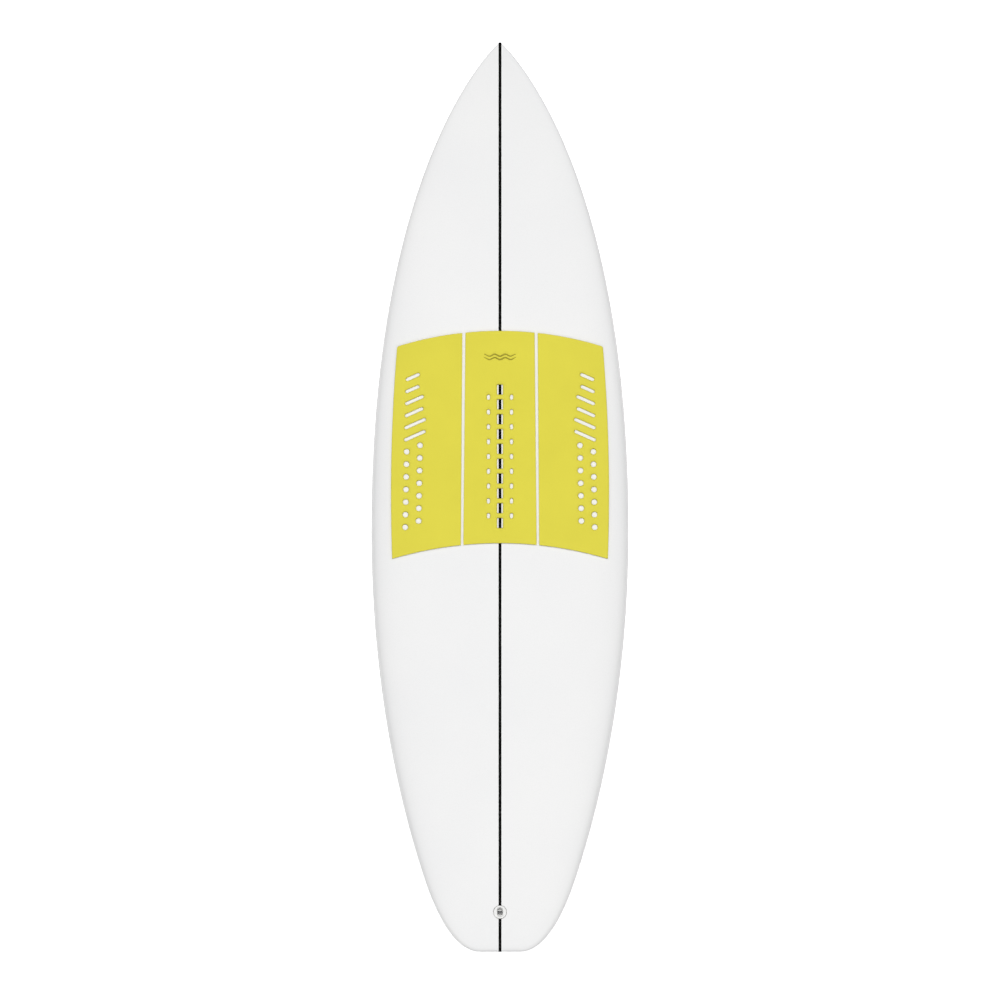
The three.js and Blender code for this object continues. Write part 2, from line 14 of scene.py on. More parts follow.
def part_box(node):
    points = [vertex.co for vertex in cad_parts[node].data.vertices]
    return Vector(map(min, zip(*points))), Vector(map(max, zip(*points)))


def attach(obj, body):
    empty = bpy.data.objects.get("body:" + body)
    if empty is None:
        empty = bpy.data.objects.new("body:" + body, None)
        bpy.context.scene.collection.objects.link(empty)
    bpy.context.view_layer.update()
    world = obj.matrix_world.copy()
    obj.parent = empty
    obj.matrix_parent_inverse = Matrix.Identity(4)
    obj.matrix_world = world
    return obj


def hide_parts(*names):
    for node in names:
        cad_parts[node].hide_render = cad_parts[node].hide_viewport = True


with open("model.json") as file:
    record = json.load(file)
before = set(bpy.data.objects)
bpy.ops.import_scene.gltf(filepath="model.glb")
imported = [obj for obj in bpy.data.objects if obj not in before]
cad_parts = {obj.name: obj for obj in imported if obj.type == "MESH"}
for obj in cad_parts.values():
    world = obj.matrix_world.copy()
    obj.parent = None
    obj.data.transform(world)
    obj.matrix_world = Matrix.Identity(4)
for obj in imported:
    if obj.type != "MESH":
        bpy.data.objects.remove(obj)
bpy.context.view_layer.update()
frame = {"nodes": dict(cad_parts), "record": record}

# ---- the board's lines, in millimetres, with z = 0 at the bottom's lowest point ----

MM = 0.001
HALF_WIDTH, HALF_LENGTH = (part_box("bottom_laminate")[1][axis] / MM for axis in (0, 1))
WIDE_POINT_Y = -63.5
THICKNESS = 60.0
NOSE_THICKNESS, TAIL_THICKNESS = 9.0, 17.0
THICKEST_Y = -20.0
NOSE_ROCKER = 125.0
TAIL_ROCKER = 58.0
FLAT_FORE_Y = 120.0
FLAT_AFT_Y = -80.0
CONCAVE, CONCAVE_RUN = 4.0, 150.0  # its depth, and the length over which it comes in from the tail
TAIL_BLEND_Y = (-550.0, -200.0)  # between these the sections change over to the tail's
STRINGER_HALF = 2.75  # with its glue lines
TIP_RADIUS = 3.5
SKIN = 0.8  # the glass's thickness
FLAT_SHARE, SHOULDER = 0.7, 0.55  # how far out the deck stays flat, and how full its shoulder is
NOSE_HUB_Y = HALF_LENGTH - 14
TAIL_HUB_Y = -HALF_LENGTH + 100
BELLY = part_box("bottom_laminate")[0].z / MM  # the belly's height in the frame, over the side fins' tips

TIP_EDGE = TIP_RADIUS * math.sqrt(0.5)
NOSE_CURVE = [
    (TIP_EDGE, HALF_LENGTH - TIP_RADIUS + TIP_EDGE),
    (39, HALF_LENGTH - 36),
    (HALF_WIDTH, 597),
    (HALF_WIDTH, WIDE_POINT_Y),
]
HIP_CURVE = [(HALF_WIDTH, WIDE_POINT_Y), (HALF_WIDTH, -369), (185.5, -599.5), (142.4, -727.7)]
TAIL_CURVE = [(142.4, -727.7), (120.5, -792.8), (85.7, -HALF_LENGTH), (37.7, -HALF_LENGTH)]


def bezier(points, t):
    p0, p1, p2, p3 = (np.array(p, float) for p in points)
    t = np.asarray(t, float)[..., None]
    return (1 - t) ** 3 * p0 + 3 * (1 - t) ** 2 * t * p1 + 3 * (1 - t) * t**2 * p2 + t**3 * p3


def lerp(a, b, t):
    return a + (b - a) * t


def smoothstep(x, low, high):
    t = np.clip((np.asarray(x, float) - low) / (high - low), 0, 1)
    return t * t * (3 - 2 * t)


def outline(steps):
    """Half the plan outline, from the nose's tip by starboard to the middle of the tail."""
    tip, nose, hip, tail, block = steps
    angle = np.linspace(math.pi / 2, math.pi / 4, tip, endpoint=False)
    round_tip = np.stack(
        [TIP_RADIUS * np.cos(angle), HALF_LENGTH - TIP_RADIUS + TIP_RADIUS * np.sin(angle)], axis=1
    )
    parts = [round_tip]
    for curve, n in ((NOSE_CURVE, nose), (HIP_CURVE, hip), (TAIL_CURVE, tail)):
        parts.append(bezier(curve, np.linspace(0, 1, n, endpoint=False)))
    flat = np.linspace(TAIL_CURVE[-1][0], 0, block + 1)
    parts.append(np.stack([flat, np.full_like(flat, -HALF_LENGTH)], axis=1))
    points = np.concatenate(parts)
    points[0, 0] = 0
    return points


def rocker(y):
    fore = np.clip((y - FLAT_FORE_Y) / (HALF_LENGTH - FLAT_FORE_Y), 0, 1)
    aft = np.clip((FLAT_AFT_Y - y) / (HALF_LENGTH + FLAT_AFT_Y), 0, 1)
    return NOSE_ROCKER * fore**2.2 + TAIL_ROCKER * aft**2


def thickness(y):
    u_nose = np.clip((y - THICKEST_Y) / (HALF_LENGTH - THICKEST_Y), 0, 1)
    u_tail = np.clip((THICKEST_Y - y) / (HALF_LENGTH + THICKEST_Y), 0, 1)
    nose = NOSE_THICKNESS + (THICKNESS - NOSE_THICKNESS) * (1 - u_nose**2.2) ** 1.17
    tail = TAIL_THICKNESS + (THICKNESS - TAIL_THICKNESS) * (1 - u_tail**2.4)
    return np.where(y > THICKEST_Y, nose, tail)


def top_height(y):
    return rocker(y) + thickness(y)


def apex_height(y):
    """The height of the rail's widest point."""
    s = y / HALF_LENGTH
    return rocker(y) + (0.4 + np.where(s > 0, 0.1, -0.07) * s * s) * thickness(y)


def tail_share(y):
    """1 in the tail and 0 ahead of it."""
    return 1 - smoothstep(y, *TAIL_BLEND_Y)


def concave_depth(y):
    return CONCAVE * tail_share(y) * smoothstep(y, TAIL_HUB_Y, TAIL_HUB_Y + CONCAVE_RUN)


def deck_curve(t, handle, shoulder):
    """Share of the way out, and share of the height over the rail's widest point."""
    share = 3 * (1 - t) ** 2 * t * handle + 3 * (1 - t) * t**2 + t**3
    lift = (1 - t) ** 3 + 3 * (1 - t) ** 2 * t + 3 * (1 - t) * t**2 * shoulder
    return share, lift


def half_sections(edges, deck_steps, rail_steps, panel_steps):
    """Points, (edge, column, xyz), out over the deck, round the rail and back under the bottom."""
    ex, ey = edges[:, :1], edges[:, 1:]
    hub = np.clip(ey, TAIL_HUB_Y, NOSE_HUB_Y)
    turn = np.abs(ey - hub) / np.hypot(ex, ey - hub)  # 0 where a section runs straight across
    aft = tail_share(ey)
    hard = 0.5 + 0.4 * aft  # how square the rail's lower edge is
    tuck = lerp(0.38, 0.2, aft) * lerp(1, 0.6, turn)  # how far the rail turns in under the board
    apex = apex_height(ey)

    t = 1 - (1 - np.linspace(0, 1, deck_steps + 1)[None, :]) ** 1.35  # closer together at the rail
    reach = lerp(FLAT_SHARE + 0.1 * aft, 0.94 + 0.035 * aft, turn)
    share, lift = deck_curve(t, reach, SHOULDER + 0.3 * aft * turn)
    y = lerp(hub, ey, share)
    over = np.stack([ex * share, y, lerp(apex, top_height(y), lift)], axis=2)

    r = np.linspace(0, 1, rail_steps + 1)[None, 1:]
    share = (1 - r) ** 3 + 3 * (1 - r) ** 2 * r + 3 * (1 - r) * r**2 * (1 - tuck * (1 - hard))
    share = share + r**3 * (1 - tuck)
    drop = 3 * (1 - r) ** 2 * r * hard + 3 * (1 - r) * r**2 + r**3
    y = lerp(hub, ey, share)
    around = np.stack([ex * share, y, lerp(apex, rocker(y), drop)], axis=2)

    s = np.linspace(1, 0, panel_steps + 1)[None, 1:]
    share = (1 - tuck) * s
    y = lerp(hub, ey, share)
    hollow = (1 - np.cos(2 * math.pi * s)) / 2
    under = np.stack([ex * share, y, rocker(y) + concave_depth(y) * hollow], axis=2)
    return np.concatenate([over, around, under], axis=1)


_tip, _block = 8, 8
_edge_table = outline((_tip, 900, 700, 400, _block))[_tip : -_block - 1]  # the side edge alone
_share_table, _lift_table = deck_curve(np.linspace(0, 1, 800), FLAT_SHARE, SHOULDER)


def half_width(y):
    return np.interp(-np.asarray(y, float), -_edge_table[:, 1], _edge_table[:, 0])


def deck_height(x, y):
    """The deck's height ahead of the tail's hub and behind the nose's."""
    share = np.abs(x) / half_width(y)
    lift = np.interp(share, _share_table, _lift_table)
    return lerp(apex_height(y), top_height(y), lift)


# ---- materials ----


def fill_ramp(ramp, stops):
    """Gives a colour ramp its stops, each (position, colour)."""
    while len(ramp.elements) < len(stops):
        ramp.elements.new(0.5)
    for element, (position, color) in zip(ramp.elements, stops):
        element.position = position
        element.color = (*color, 1)


class Look:
    """A principled material with a few short cuts for its nodes."""

    SETTINGS = ("attribute_name", "bands_direction", "feature", "operation", "wave_type")

    def __init__(self, name, color, roughness, **constants):
        self.material = bpy.data.materials.new(name)
        self.material.use_nodes = True
        self.nodes = self.material.node_tree.nodes
        self.links = self.material.node_tree.links
        self.shader = self.nodes["Principled BSDF"]
        self.set("Base Color", (*color, 1))
        self.set("Roughness", roughness)
        for key, value in constants.items():
            self.set(key.replace("_", " ").title().replace("Ior", "IOR"), value)
        self.coordinates = self.nodes.new("ShaderNodeTexCoord").outputs["Object"]

    def set(self, socket, value):
        self.shader.inputs[socket].default_value = value

    def feed(self, socket, value):
        """Links another node's output to a socket, or sets a plain value there."""
        if isinstance(value, bpy.types.NodeSocket):
            self.links.new(value, socket)
        else:
            socket.default_value = value

    def node(self, kind, **values):
        made = self.nodes.new(kind)
        for key, value in values.items():
            if key in self.SETTINGS:
                setattr(made, key, value)
            else:
                self.feed(made.inputs[key], value)
        return made

    def stretched(self, x, y, z):
        made = self.node("ShaderNodeMapping", Scale=(x, y, z), Vector=self.coordinates)
        return made.outputs["Vector"]

    def noise(self, scale, detail=2.0, roughness=0.5, vector=None):
        return self.node(
            "ShaderNodeTexNoise", Scale=scale, Detail=detail, Roughness=roughness,
            Vector=vector or self.coordinates,
        ).outputs["Fac"]

    def bands(self, way, scale, distortion):
        return self.node(
            "ShaderNodeTexWave", wave_type="BANDS", bands_direction=way,
            Scale=scale, Distortion=distortion, Vector=self.coordinates,
        ).outputs["Fac"]

    def cells(self, scale):
        made = self.node("ShaderNodeTexVoronoi", feature="F1", Scale=scale, Vector=self.coordinates)
        return made.outputs["Distance"]

    def math(self, operation, a, b=0.0):
        made = self.node("ShaderNodeMath", operation=operation)
        self.feed(made.inputs[0], a)
        self.feed(made.inputs[1], b)
        return made.outputs[0]

    def ramp(self, factor, stops):
        made = self.node("ShaderNodeValToRGB", Fac=factor)
        fill_ramp(made.color_ramp, stops)
        return made.outputs["Color"]

    def spread(self, factor, low, high):
        """The factor, 0 to 1, as a number from low to high."""
        made = self.node("ShaderNodeMapRange", **{"Value": factor, "To Min": low, "To Max": high})
        return made.outputs["Result"]

    def mix(self, factor, a, b, blend="MIX"):
        """Two colours mixed, through the Mix node's colour sockets."""
        made = self.nodes.new("ShaderNodeMix")
        made.data_type, made.blend_type = "RGBA", blend
        for socket, value in ((0, factor), (6, a), (7, b)):
            self.feed(made.inputs[socket], (*value, 1) if isinstance(value, tuple) else value)
        return made.outputs[2]

    def color(self, source):
        self.links.new(source, self.shader.inputs["Base Color"])

    def roughness(self, source):
        self.links.new(source, self.shader.inputs["Roughness"])

    def bump(self, *layers):
        """Each layer is a height texture and its depth in metres."""
        normal = None
        for height, depth in layers:
            made = self.node("ShaderNodeBump", Distance=depth, Height=height)
            if normal:
                self.links.new(normal, made.inputs["Normal"])
            normal = made.outputs["Normal"]
        self.links.new(normal, self.shader.inputs["Normal"])


LAP_INSET, LAP_HALF = 48.0, 1.6  # how far in from the edge the cloth's lap ends, and half its ridge's width


def glass_look(name, lap=False):
    """White pigmented resin over glass cloth, polished."""
    look = Look(name, (0.86, 0.86, 0.86), 0.16, coat_weight=0.35, coat_roughness=0.05, ior=1.5)
    clouds = look.ramp(look.noise(5, 3), [(0.3, (0.845, 0.847, 0.85)), (0.7, (0.868, 0.868, 0.866))])
    flecks = look.ramp(look.noise(700, 2), [(0.35, (0.975, 0.975, 0.975)), (0.55, (1, 1, 1))])
    color = look.mix(1.0, clouds, flecks, "MULTIPLY")
    weave = look.math("ADD", *(look.bands(way, 330, 0.6) for way in ("X", "Y")))
    layers = [(weave, 0.000004), (look.noise(22, 2), 0.00012)]
    if lap:
        inset = look.node("ShaderNodeAttribute", attribute_name="inset_mm").outputs["Fac"]
        beside = look.math("DIVIDE", look.math("SUBTRACT", inset, LAP_INSET), LAP_HALF)
        ridge = look.math("MAXIMUM", look.math("SUBTRACT", 1.0, look.math("ABSOLUTE", beside)), 0.0)
        color = look.mix(look.math("MULTIPLY", ridge, 0.35), color, (0.62, 0.63, 0.64))
        layers.append((ridge, 0.00015))
    look.color(color)
    look.roughness(look.spread(look.noise(14, 4), 0.11, 0.24))
    look.bump(*layers)
    return look.material


def stringer_look():
    """Black carbon strip under the glass, with its grain along the board."""
    look = Look("stringer_black", (0.004, 0.004, 0.004), 0.45, specular_ior_level=0.05)
    grain = look.noise(1, 6, 0.7, look.stretched(900, 9, 300))
    look.color(look.ramp(grain, [(0.35, (0.0025, 0.0025, 0.0025)), (0.75, (0.0045, 0.0045, 0.0042))]))
    look.roughness(look.spread(grain, 0.4, 0.5))
    look.bump((grain, 0.000004))
    return look.material


def eva_look(name, light, dark):
    """Matt closed-cell foam with a skin of tiny pores."""
    look = Look(name, light, 0.85, sheen_weight=0.06, sheen_roughness=0.5, specular_ior_level=0.2)
    broad = look.noise(16, 2)
    pores = look.cells(1500)
    color = look.ramp(broad, [(0.3, dark), (0.7, light)])
    fine = look.ramp(look.noise(2600, 2), [(0.3, (0.93, 0.93, 0.9)), (0.62, (1, 1, 1))])
    look.color(look.mix(1.0, color, fine, "MULTIPLY"))
    look.roughness(look.spread(broad, 0.78, 0.92))
    look.bump((pores, 0.00012), (look.noise(420, 3), 0.00018))
    return look.material


def plastic_look(name, color, roughness):
    """Moulded plastic with a faint grain."""
    look = Look(name, color, roughness)
    tone = tuple(c * 0.94 for c in color)
    look.color(look.ramp(look.noise(160, 4), [(0.3, tone), (0.7, color)]))
    look.roughness(look.spread(look.noise(420, 3), roughness * 0.8, roughness * 1.3))
    look.bump((look.noise(1800, 2), 0.00002))
    return look.material


def steel_look(name, color):
    """Turned stainless steel, with fine streaks round the piece."""
    look = Look(name, color, 0.28, metallic=1.0)
    streaks = look.noise(1, 4, 0.6, look.stretched(300, 5200, 5200))
    look.color(look.ramp(streaks, [(0.3, tuple(0.75 * c for c in color)), (0.7, color)]))
    look.roughness(look.spread(streaks, 0.2, 0.38))
    look.bump((streaks, 0.00001))
    return look.material


def fin_look():
    """Black glass-fibre composite: a fine cross weave under a satin skin."""
    look = Look(
        "fin_composite", (0.014, 0.014, 0.015), 0.34,
        coat_weight=0.2, coat_roughness=0.15, specular_ior_level=0.3,
    )
    cloth = look.math("MULTIPLY", *(look.bands(way, 120, 0.3) for way in ("Y", "Z")))
    look.color(look.ramp(cloth, [(0.05, (0.006, 0.006, 0.007)), (0.6, (0.045, 0.046, 0.05))]))
    look.roughness(look.spread(look.noise(60, 4), 0.28, 0.46))
    look.bump((cloth, 0.00004))
    return look.material


def foam_look():
    """Polyurethane foam, cut open."""
    look = Look("foam_blank", (0.83, 0.8, 0.71), 0.95)
    cells = look.cells(1200)
    look.color(look.ramp(cells, [(0.1, (0.7, 0.66, 0.55)), (0.6, (0.86, 0.83, 0.75))]))
    look.bump((cells, 0.0002))
    return look.material


def floor_look():
    """White, with a glow that keeps it white under the board."""
    look = Look("floor", (0.9, 0.9, 0.9), 0.9, emission_strength=0.75)
    look.set("Emission Color", (1, 1, 1, 1))
    look.color(look.ramp(look.noise(3, 3), [(0.3, (0.89, 0.89, 0.89)), (0.7, (0.91, 0.91, 0.91))]))
    return look.material


YELLOW = (0.76, 0.69, 0.075)
YELLOW_SHADE = (0.74, 0.67, 0.072)
GLASS = glass_look("white_glass")
GLASS_LAPPED = glass_look("white_glass_lapped", lap=True)
STRINGER = stringer_look()
EVA = eva_look("eva_yellow", YELLOW, YELLOW_SHADE)
# The foam's cut face on walls and underneath: partly the cut foam's own tone, and partly painted shade in
# the holes and along the edges.
EVA_CUT_PAINTED_SHADE = eva_look("eva_cut_edge_painted_shade", (0.56, 0.49, 0.045), (0.5, 0.43, 0.04))
EVA_PRESSED = eva_look("eva_pressed", (0.37, 0.32, 0.036), (0.35, 0.3, 0.034))
PLUG = plastic_look("plug_plastic", (0.86, 0.86, 0.85), 0.3)
BOX_PLASTIC = plastic_look("box_plastic", (0.74, 0.74, 0.73), 0.32)
STEEL = steel_look("stainless", (0.68, 0.68, 0.69))
# The leash pin's steel: the same stainless, painted darker as the shade and dark reflections inside the
# plug's cup.
STEEL_PAINTED_SHADE = steel_look("stainless_painted_shade", (0.24, 0.24, 0.245))
FIN = fin_look()
FOAM = foam_look()

# ---- meshes ----


def new_object(name, mesh, materials, replaces, body="board", sharp_over=None):
    """A piece in place of CAD nodes; edges that turn by more than sharp_over degrees stay sharp."""
    made = bpy.data.objects.new(name, mesh)
    bpy.context.collection.objects.link(made)
    for material in materials:
        mesh.materials.append(material)
    mesh.polygons.foreach_set("use_smooth", [True] * len(mesh.polygons))
    if sharp_over:
        mesh.set_sharp_from_angle(angle=math.radians(sharp_over))
    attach(made, body)
    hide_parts(*replaces)
    return made


def mesh_from(name, points, faces, slots):
    """A mesh from points in millimetres, with a material slot for each face."""
    mesh = bpy.data.meshes.new(name)
    corners = [list(map(int, face)) for face in faces]
    mesh.from_pydata((np.asarray(points, float) * MM).tolist(), [], corners)
    mesh.polygons.foreach_set("material_index", np.asarray(slots, np.int32))
    mesh.update()
    return mesh


def cleaned(mesh, distance=2e-6):
    """The mesh with points nearer than the distance, in metres, joined and its faces turned outward."""
    bm = bmesh.new()
    bm.from_mesh(mesh)
    bmesh.ops.remove_doubles(bm, verts=bm.verts, dist=distance)
    bmesh.ops.dissolve_degenerate(bm, dist=distance / 4, edges=bm.edges)
    bmesh.ops.recalc_face_normals(bm, faces=bm.faces)
    bm.to_mesh(mesh)
    bm.free()
    return mesh


def temporary(mesh):
    made = bpy.data.objects.new("temporary", mesh)
    bpy.context.collection.objects.link(made)
    return made


def cut_by(mesh, cutters):
    """The mesh with the cutter meshes taken away from it."""
    base = temporary(mesh)
    tools = [temporary(c) for c in cutters]
    for tool in tools:
        step = base.modifiers.new("cut", "BOOLEAN")
        step.operation = "DIFFERENCE"
        step.solver = "EXACT"
        step.object = tool
    bpy.context.view_layer.update()
    graph = bpy.context.evaluated_depsgraph_get()
    result = bpy.data.meshes.new_from_object(base.evaluated_get(graph))
    for thing in (base, *tools):
        bpy.data.objects.remove(thing)
    return result


def ring_faces(rows, columns):
    """Quads between rings of points, row by row."""
    faces = []
    for i in range(rows - 1):
        low, high = i * columns, (i + 1) * columns
        for j in range(columns):
            k = (j + 1) % columns
            faces.append((low + j, low + k, high + k, high + j))
    return faces


def lathe(profile, sides, slot=0):
    """A mesh turned about Z from (radius, height) pairs that start and end on the axis."""
    angles = np.linspace(0, 2 * math.pi, sides, endpoint=False)
    points = [(r * math.cos(a), r * math.sin(a), z) for r, z in profile for a in angles]
    faces = ring_faces(len(profile), sides)
    return cleaned(mesh_from("lathe", points, faces, [slot] * len(faces)))


def stadium_points(half_length, radius, steps):
    """A loop along Y with round ends, half_length from the middle to each end's centre."""
    angles = np.linspace(0, math.pi, steps)
    fore = [(radius * math.cos(a), half_length + radius * math.sin(a)) for a in angles]
    return fore + [(-x, -y) for x, y in fore]


def prism_mesh(loops, slot=0):
    """A closed mesh over loops of equal length, each (points in the plane, height)."""
    count = len(loops[0][0])
    points = [(x, y, z) for loop, z in loops for x, y in loop]
    faces = ring_faces(len(loops), count)
    faces += [tuple(range(count))[::-1], tuple(range(len(points) - count, len(points)))]
    return cleaned(mesh_from("prism", points, faces, [slot] * len(faces)))


def moved(mesh, matrix):
    """The same mesh, after it was moved."""
    mesh.transform(matrix)
    return mesh


# ---- places of the fittings: the plug's from its mount, the fins' from the board's lines ----

PLUG_RADIUS, PLUG_DEPTH = 12.7, 17.0
PLUG_ROUTED = PLUG_RADIUS + 0.4  # the hole in the glass, just wider than the plug's flange
MOUNT_AHEAD = 11.2  # from the plug's middle to the mount on its rim


def plug_place():
    """The middle of the plug's rim, square to it."""
    mount = next(m for m in frame["record"]["mounts"] if m["name"] == "leash_plug")
    up = Vector(mount["axis"]).normalized()
    across = Vector((1, 0, 0))
    fore = up.cross(across)
    at = Vector(mount["pos_m"]) - MOUNT_AHEAD * MM * fore
    turn = Matrix((across, fore, up)).transposed().to_4x4()
    return Matrix.Translation(at) @ turn


PLUG_PLACE = plug_place()
FIN_SIDES = {"port": -1, "center": 0, "starboard": 1}
FIN_TOE = math.radians(1.6)
FIN_BASE = 111.0
FIN_FROM_TAIL = {0: 98.0, 1: 279.0}  # to the rear corner of the centre fin and of the side fins
FIN_FROM_RAIL = 38.0
BOX_HALF, BOX_RADIUS, BOX_DEPTH = 36.0, 14.0, 17.0  # a box is a slot with round ends
BOX_PROUD = 0.6
POCKET_DEPTH, POCKET_OUT = 19.0, 6.0  # the cutter for a fitting's hole reaches this far in and out


def fin_place(side):
    """The middle of a fin box's face, with +Y forward along the bottom and +Z into the board."""
    y = -HALF_LENGTH + FIN_FROM_TAIL[abs(side)] + FIN_BASE / 2
    x = side * (float(half_width(y)) - FIN_FROM_RAIL)
    slope = math.atan((rocker(y + FIN_BASE / 2) - rocker(y - FIN_BASE / 2)) / FIN_BASE)
    at = Vector((x, y, float(rocker(y)) - BOX_PROUD + BELLY)) * MM
    return (
        Matrix.Translation(at)
        @ Matrix.Rotation(slope, 4, "X")
        @ Matrix.Rotation(side * FIN_TOE, 4, "Z")
    )


# ---- glass skins and stringer ----

DECK, BOTTOM, POCKET = 0, 1, 2


def hull_mesh():
    """The glassed board's closed outer surface."""
    deck_steps, rail_steps, panel_steps = 44, 18, 20
    edges = outline((6, 120, 70, 56, 10))  # steps round the tip, nose, hip, tail and block
    starboard = half_sections(edges, deck_steps, rail_steps, panel_steps)
    starboard[..., 2] += BELLY
    port = starboard[1:-1][::-1] * np.array([-1, 1, 1])
    sections = np.concatenate([starboard, port])
    columns = sections.shape[1]
    faces, slots = [], []
    for i in range(len(sections)):
        here, beyond = i * columns, (i + 1) % len(sections) * columns
        for j in range(columns - 1):
            faces.append((here + j, beyond + j, beyond + j + 1, here + j + 1))
            slots.append(DECK if j < deck_steps else BOTTOM)
    return cleaned(mesh_from("hull", sections.reshape(-1, 3), faces, slots))


def pocket_meshes():
    """What is cut out of the board for the plug and the fin boxes."""
    profile = [(0, -POCKET_DEPTH), (PLUG_ROUTED, -POCKET_DEPTH), (PLUG_ROUTED, POCKET_OUT), (0, POCKET_OUT)]
    made = [moved(lathe(profile, 96, POCKET), PLUG_PLACE)]
    for side in FIN_SIDES.values():
        loop = stadium_points(BOX_HALF, BOX_RADIUS + 0.05, 25)
        pocket = prism_mesh([(loop, -POCKET_OUT), (loop, POCKET_DEPTH)], POCKET)
        made.append(moved(pocket, fin_place(side)))
    return made


def sliced(mesh, sides, name):
    """A mesh cut along planes across X, each (x in mm, the side to leave out or 0), with its cuts filled."""
    bm = bmesh.new()
    bm.from_mesh(mesh)
    for x, outside in sides:
        cut = bmesh.ops.bisect_plane(
            bm, geom=[*bm.verts, *bm.edges, *bm.faces], dist=1e-7,
            plane_co=(x * MM, 0, 0), plane_no=(outside or 1, 0, 0), clear_outer=bool(outside),
        )
        if outside:
            rim = [e for e in cut["geom_cut"] if isinstance(e, bmesh.types.BMEdge)]
            cap = bmesh.ops.triangle_fill(bm, edges=rim, use_beauty=True, normal=(outside, 0, 0))
            for face in cap["geom"]:
                if isinstance(face, bmesh.types.BMFace):
                    face.material_index = POCKET
    made = bpy.data.meshes.new(name)
    bm.to_mesh(made)
    bm.free()
    return made


def surface_normals(mesh, source):
    """At each vertex, the smooth normal of the surface that the mesh was cut from."""
    tree = BVHTree.FromPolygons([v.co for v in source.vertices], [p.vertices for p in source.polygons])
    normals = []
    for v in mesh.vertices:
        at, _, index, _ = tree.find_nearest(v.co)
        corners = source.polygons[index].vertices
        weights = poly_3d_calc([source.vertices[c].co for c in corners], at)
        normal = sum((w * source.vertices[c].normal for w, c in zip(weights, corners)), Vector())
        normals.append(normal.normalized())
    return normals


def set_corner_normals(mesh, normals):
    """Shades the mesh by the given normals, and gives all of it the first material."""
    mesh.polygons.foreach_set("use_smooth", [True] * len(mesh.polygons))
    mesh.polygons.foreach_set("material_index", [0] * len(mesh.polygons))
    mesh.normals_split_custom_set(normals)


def skin_mesh(name, split, source, slot):
    """One slot's faces outside the stringer, as a closed skin SKIN thick."""
    normals = surface_normals(split, source)
    kept = [
        tuple(p.vertices)
        for p in split.polygons
        if p.material_index == slot and abs(p.center.x) > STRINGER_HALF * MM
    ]
    used = sorted({v for face in kept for v in face})
    number = {v: k for k, v in enumerate(used)}
    outer = [tuple(number[v] for v in face) for face in kept]
    count = len(used)
    inner = [tuple(v + count for v in reversed(face)) for face in outer]
    edges = {(a, b) for face in outer for a, b in zip(face, (*face[1:], face[0]))}
    rim = sorted((a, b) for a, b in edges if (b, a) not in edges)
    walls = [(b, a, a + count, b + count) for a, b in rim]
    over = [split.vertices[v].co for v in used]
    under = [split.vertices[v].co - SKIN * MM * normals[v] for v in used]
    mesh = bpy.data.meshes.new(name)
    mesh.from_pydata([*over, *under], [], outer + inner + walls)
    mesh.update()
    shading = [normals[used[v]] for face in outer for v in face]
    shading += [-normals[used[v - count]] for face in inner for v in face]
    shading += [mesh.polygons[2 * len(outer) + k].normal for k in range(len(walls)) for _ in range(4)]
    set_corner_normals(mesh, shading)
    return mesh


def web_mesh(name, routed, source):
    """The stringer: all of the board between its two sides, closed."""
    mesh = sliced(routed, [(-STRINGER_HALF, -1), (STRINGER_HALF, 1)], name)
    normals = surface_normals(mesh, source)
    shading = []
    for p in mesh.polygons:
        flat = p.material_index == POCKET
        shading += [p.normal.copy() if flat else normals[v] for v in p.vertices]
    set_corner_normals(mesh, shading)
    return mesh


def mark_insets(mesh, edge):
    """Stores how far each point lies in from the board's edge, seen from above, in millimetres."""
    points = np.array([v.co[:2] for v in mesh.vertices]) / MM
    points[:, 0] = np.abs(points[:, 0])
    nearest = [
        np.sqrt(((chunk[:, None, :] - edge[None, :, :]) ** 2).sum(axis=2)).min(axis=1)
        for chunk in np.array_split(points, 60)  # to save memory
    ]
    inset = mesh.attributes.new("inset_mm", "FLOAT", "POINT")
    inset.data.foreach_set("value", np.concatenate(nearest).astype(np.float32))


def glass_and_stringer():
    whole = hull_mesh()
    whole.polygons.foreach_set("use_smooth", [True] * len(whole.polygons))
    routed = cut_by(whole.copy(), pocket_meshes())
    split = sliced(routed, [(-STRINGER_HALF, 0), (STRINGER_HALF, 0)], "split")
    deck = skin_mesh("deck_glass", split, whole, DECK)
    bottom = skin_mesh("bottom_glass", split, whole, BOTTOM)
    web = web_mesh("stringer_web", routed, whole)
    mark_insets(bottom, outline((8, 300, 200, 150, 20)))
    new_object("deck_glass", deck, [GLASS], replaces=["deck_laminate"])
    new_object("bottom_glass", bottom, [GLASS_LAPPED], replaces=["bottom_laminate"])
    new_object("stringer_web", web, [STRINGER], replaces=["stringer"])


glass_and_stringer()

# ---- traction pad ----

PAD_THICKNESS = 4.3  # from the glass, with its adhesive
PAD_TOP_Y, PAD_TOP_RADIUS = 315.5, 655.0
PAD_BOTTOM_Y, PAD_BOTTOM_RADIUS = -87.5, 718.0
PAD_EDGE = [(0, 0.15), (0, 3.3), (0.12, 3.75), (0.4, 4.12), (0.95, PAD_THICKNESS)]  # inset, height
HOLE_EDGE = [(0, 0.15), (0, 1.7), (0.3, 2.7), (0.75, 3.6), (1.4, PAD_THICKNESS)]
MARK_EDGE = [(-0.1, PAD_THICKNESS - 0.7), (0, PAD_THICKNESS - 0.25), (0.25, PAD_THICKNESS)]  # pressed in
CUT_PAINTED_SHADE_UP_TO = 3.4  # walls below this height show the foam's cut edge, coloured darker as painted shade


def arc_y(top, radius, x):
    return top - radius + math.sqrt(radius**2 - x**2)


def pad_top(x):
    return arc_y(PAD_TOP_Y, PAD_TOP_RADIUS, x)


def pad_bottom(x):
    return arc_y(PAD_BOTTOM_Y, PAD_BOTTOM_RADIUS, x)


